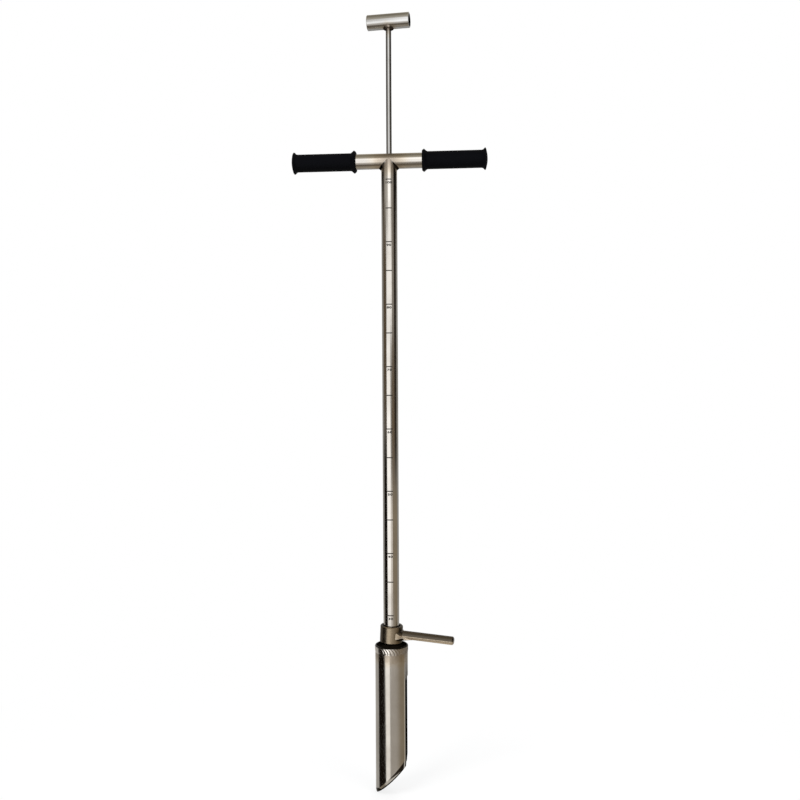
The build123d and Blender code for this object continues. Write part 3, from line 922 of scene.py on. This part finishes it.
def makeNumeral(depth, height):
    data = bpy.data.curves.new("numeral", "FONT")
    data.body = str(depth)
    data.size = depthScale["digits"] / depthScale["capHeight"]
    data.align_x = "CENTER"
    data.align_y = "CENTER"
    data.offset = depthScale["bold"]
    data.space_character = depthScale["apart"]
    data.extrude = depthScale["thick"] / 2
    words = bpy.data.objects.new("numeral", data)
    bpy.context.scene.collection.objects.link(words)
    mesh = bpy.data.meshes.new_from_object(words.evaluated_get(bpy.context.evaluated_depsgraph_get()))
    bm = bmesh.new()
    bm.from_mesh(mesh)
    bpy.data.objects.remove(words)
    bmesh.ops.remove_doubles(bm, verts=bm.verts, dist=depthScale["merge"])
    bmesh.ops.scale(bm, vec=(depthScale["spread"], 1, 1), verts=bm.verts)
    wrapOnShaft(bm, height - depthScale["drop"])
    finishPiece(f"depth_numeral_{depth}", bm, markFinish, "frame")


for mark in range(depthScale["count"]):
    number = depthScale["firstNumber"] + depthScale["numberStep"] * mark
    height = tipHeight + depthScale["first"] + mark * depthScale["step"]
    makeLine(number, height)
    makeNumeral(number, height)
    if mark < depthScale["count"] - 1:
        makeLine(number + depthScale["halfNumber"], height + depthScale["half"])
print("depth scale built")


# stage

def addStage(name, bm, material):
    mesh = bpy.data.meshes.new(name)
    bm.to_mesh(mesh)
    bm.free()
    mesh.materials.append(material)
    thing = bpy.data.objects.new(name, mesh)
    bpy.context.scene.collection.objects.link(thing)
    return thing


def stageMaterial(name):
    material = bpy.data.materials.new(name)
    material.use_nodes = True
    material.cycles.emission_sampling = "NONE"
    tree = material.node_tree
    tree.nodes.remove(tree.nodes["Principled BSDF"])
    return material, tree, tree.nodes["Material Output"].inputs["Surface"]


# the room that the steel reflects, in metres
studio = dict(radius=1.4, low=-1.3, high=2.3, sides=96, wall=(0.38, 0.37, 0.35, 1))
overhead = dict(height=(1.5, 2.1), reach=(0.1, 1.3), middle=(0.24, 0.21, 0.15, 1), rim=(0.55, 0.50, 0.41, 1))
ground = dict(
    height=(-1.15, -1.0), reach=(0.5, 0.9), middle=(0.52, 0.46, 0.37, 1), rim=(0.27, 0.23, 0.18, 1),
)
groundGlow = dict(  # low and high are reaches from the shaft's axis
    name="groundGlow", centre=22, half=60, low=1.31, high=9, edge=8, colour=(0.85, 0.81, 0.75, 1)
)
panels = [  # centre and half width in degrees from the camera, heights in m, strength as a colour
    dict(name="lowBack", centre=180, half=77, low=-2, high=-0.3, edge=6, colour=(0.50, 0.48, 0.45, 1)),
    dict(name="blackFlag", centre=-77, half=27, low=-2, high=0.3, edge=4, colour=(0.010, 0.007, 0.005, 1)),
    dict(name="brownDrape", centre=-76, half=26, low=0.3, high=3, edge=10, colour=(0.13, 0.096, 0.062, 1)),
    dict(name="tanWall", centre=56, half=46, low=-2, high=0.15, edge=6, colour=(0.32, 0.265, 0.19, 1)),
    dict(name="paleStep", centre=14, half=32, low=-2, high=-0.3, edge=50, colour=(0.52, 0.48, 0.43, 1)),
    dict(name="topFlag", centre=-102, half=30, low=1.04, high=3, edge=8, colour=(0.020, 0.015, 0.010, 1)),
    dict(name="topGlow", centre=-28, half=44, low=0.97, high=1.85, edge=50, colour=(0.58, 0.55, 0.50, 1)),
    dict(name="brownDoor", centre=40, half=24, low=0.15, high=0.62, edge=6, colour=(0.18, 0.135, 0.09, 1)),
    dict(name="greyDoor", centre=42, half=22, low=0.62, high=3, edge=6, colour=(0.34, 0.31, 0.27, 1)),
    dict(name="darkPost", centre=80, half=20, low=0.15, high=3, edge=4, colour=(0.034, 0.026, 0.019, 1)),
    dict(name="topPost", centre=93, half=29, low=1.0, high=3, edge=4, colour=(0.014, 0.011, 0.008, 1)),
    dict(name="lowPane", centre=-29, half=15.5, low=-0.92, high=-0.36, edge=3, colour=(1.38, 1.34, 1.28, 1)),
    dict(name="lowFlag", centre=-73, half=29, low=-2, high=-0.58, edge=4, colour=(0.010, 0.007, 0.005, 1)),
    dict(name="midPane", centre=-24.5, half=26, low=-0.36, high=0.62, edge=6, colour=(1.60, 1.58, 1.55, 1)),
    dict(name="highPane", centre=-9, half=34, low=0.62, high=0.95, edge=18, colour=(1.52, 1.50, 1.47, 1)),
    dict(name="topPane", centre=-2, half=18, low=0.95, high=1.85, edge=22, colour=(1.80, 1.78, 1.75, 1)),
    dict(name="backFlag", centre=133, half=22, low=-0.79, high=-0.47, edge=3, colour=(0.012, 0.01, 0.008, 1)),
    dict(name="paleCard", centre=10, half=13, low=-0.34, high=0.12, edge=8, colour=(0.95, 0.90, 0.84, 1)),
    dict(name="rightBack", centre=160, half=8, low=-1.1, high=1.85, edge=4, colour=(0.75, 0.74, 0.72, 1)),
    dict(name="leftBack", centre=-160, half=8, low=-1.1, high=1.85, edge=4, colour=(0.75, 0.74, 0.72, 1)),
]
panelSizes = ("Centre", "Half", "Low", "High", "Edge")
panelBlur = 0.1  # metres each way at a panel's top and bottom


def makeWallPanel():
    inputs = [(label, "Float", None) for label in ("Azimuth", "Height") + panelSizes]
    tree, given, out = newGroup("wallPanel", inputs, [("Mask", "Float")])
    off = calc(tree, "WRAP", calc(tree, "SUBTRACT", given["Azimuth"], given["Centre"]), 180.0, -180.0)
    inside = calc(tree, "SUBTRACT", given["Half"], calc(tree, "ABSOLUTE", off))
    across = remap(tree, calc(tree, "DIVIDE", inside, given["Edge"]), -0.5, 0.5, soft=True)
    rise = calc(tree, "SUBTRACT", given["Height"], given["Low"])
    drop = calc(tree, "SUBTRACT", given["High"], given["Height"])
    above, below = (remap(tree, room, -panelBlur, panelBlur, soft=True) for room in (rise, drop))
    tree.links.new(calc(tree, "MULTIPLY", across, calc(tree, "MULTIPLY", above, below)), out["Mask"])
    return tree


wallPanel = makeWallPanel()


def paintPanel(tree, azimuth, height, panel, colour):
    inputs = {"Azimuth": azimuth, "Height": height}
    inputs.update({label: panel[label.lower()] for label in panelSizes})
    mask = useGroup(tree, wallPanel, inputs, panel["name"])["Mask"]
    return mixColour(tree, mask, colour, panel["colour"])


def roomGlow(name):
    material, tree, surface = stageMaterial(name)
    place, axes = placeAxes(tree)
    around = calc(tree, "ARCTAN2", axes["X"], calc(tree, "MULTIPLY", axes["Y"], -1.0))
    azimuth = calc(tree, "SUBTRACT", calc(tree, "DEGREES", around), shot["azimuth"])
    reach = fromAxis(tree, place)
    colour = studio["wall"]
    for panel in panels:
        colour = paintPanel(tree, azimuth, axes["Z"], panel, colour)
    ceiling = mixColour(tree, remap(tree, reach, *overhead["reach"]), overhead["middle"], overhead["rim"])
    colour = mixColour(tree, remap(tree, axes["Z"], *overhead["height"], soft=True), colour, ceiling)
    base = mixColour(tree, remap(tree, reach, *ground["reach"]), ground["middle"], ground["rim"])
    base = paintPanel(tree, azimuth, reach, groundGlow, base)
    low = remap(tree, axes["Z"], *ground["height"], 1.0, 0.0, soft=True)
    colour = mixColour(tree, low, colour, base)
    tree.links.new(addNode(tree, "Emission", {"Color": colour}).outputs[0], surface)
    return material


def makeStudioRoom():
    bm = bmesh.new()
    radius, depth = studio["radius"], studio["high"] - studio["low"]
    bmesh.ops.create_cone(
        bm, cap_ends=True, segments=studio["sides"], radius1=radius, radius2=radius, depth=depth
    )
    bmesh.ops.translate(bm, vec=(0, 0, studio["low"] + depth / 2), verts=bm.verts)
    room = addStage("studioRoom", bm, roomGlow("studioRoom"))
    room.visible_camera = False
    room.visible_diffuse = False
    room.visible_shadow = False


pale = dict(size=6.0, colour=(0.82, 0.82, 0.82, 1), near=0.15, far=0.9, underTip=0.8)


def palePaper(name):
    material, tree, surface = stageMaterial(name)
    matte = addNode(tree, "BsdfDiffuse", {"Color": pale["colour"]})
    glow = addNode(tree, "Emission", {"Strength": 1.0})
    seen = addNode(tree, "LightPath").outputs["Is Camera Ray"]
    away = distance(tree, addNode(tree, "TexCoord").outputs["Object"], (0, 0, tipHeight))
    share = remap(tree, away, pale["near"], pale["far"], pale["underTip"], 1.0, soft=True)
    white = calc(tree, "MULTIPLY", seen, share)
    blend = addNode(tree, "MixShader", {0: white, 1: matte.outputs[0], 2: glow.outputs[0]})
    tree.links.new(blend.outputs[0], surface)
    return material


def makeFloor():
    bm = bmesh.new()
    bmesh.ops.create_grid(bm, x_segments=1, y_segments=1, size=pale["size"])
    bmesh.ops.translate(bm, vec=(0, 0, tipHeight), verts=bm.verts)
    addStage("floor", bm, palePaper("paleFloor")).visible_glossy = False


sky = dict(colour=(0.96, 0.98, 1, 1), strength=0.5)


def makeWorld():
    world = bpy.data.worlds.new("studioWorld")
    bpy.context.scene.world = world
    world.use_nodes = True
    tree = world.node_tree
    rays = addNode(tree, "LightPath").outputs
    bounced = calc(tree, "MAXIMUM", rays["Is Glossy Ray"], rays["Is Transmission Ray"])
    seen = calc(tree, "MAXIMUM", rays["Is Camera Ray"], bounced)
    white = addNode(tree, "Background", {"Color": (1, 1, 1, 1), "Strength": 1.0})
    soft = addNode(tree, "Background", {"Color": sky["colour"], "Strength": sky["strength"]})
    blend = addNode(tree, "MixShader", {0: seen, 1: soft.outputs[0], 2: white.outputs[0]})
    tree.links.new(blend.outputs[0], tree.nodes["World Output"].inputs["Surface"])


lamps = [
    dict(name="keyLamp", place=(-1.3, -1.6, 1.9), aim=(0, 0, 0.4), size=1.2, power=55),
    dict(name="fillLamp", place=(1.6, -1.3, 1.2), aim=(0, 0, 0.4), size=1.4, power=28),
    dict(name="backLamp", place=(0.4, 1.9, 1.8), aim=(0, 0, 0.5), size=1.2, power=26),
]


def makeLamps():
    for lamp in lamps:
        data = bpy.data.lights.new(lamp["name"], "AREA")
        data.size = lamp["size"]
        data.energy = lamp["power"]
        light = bpy.data.objects.new(lamp["name"], data)
        bpy.context.scene.collection.objects.link(light)
        place, aim = Vector(lamp["place"]), Vector(lamp["aim"])
        turn = (aim - place).to_track_quat("-Z", "Y").to_matrix().to_4x4()
        light.matrix_world = Matrix.Translation(place) @ turn
        light.visible_glossy = False


makeStudioRoom()
makeFloor()
makeWorld()
makeLamps()
bpy.context.scene.view_settings.view_transform = "Standard"
print("stage lit")
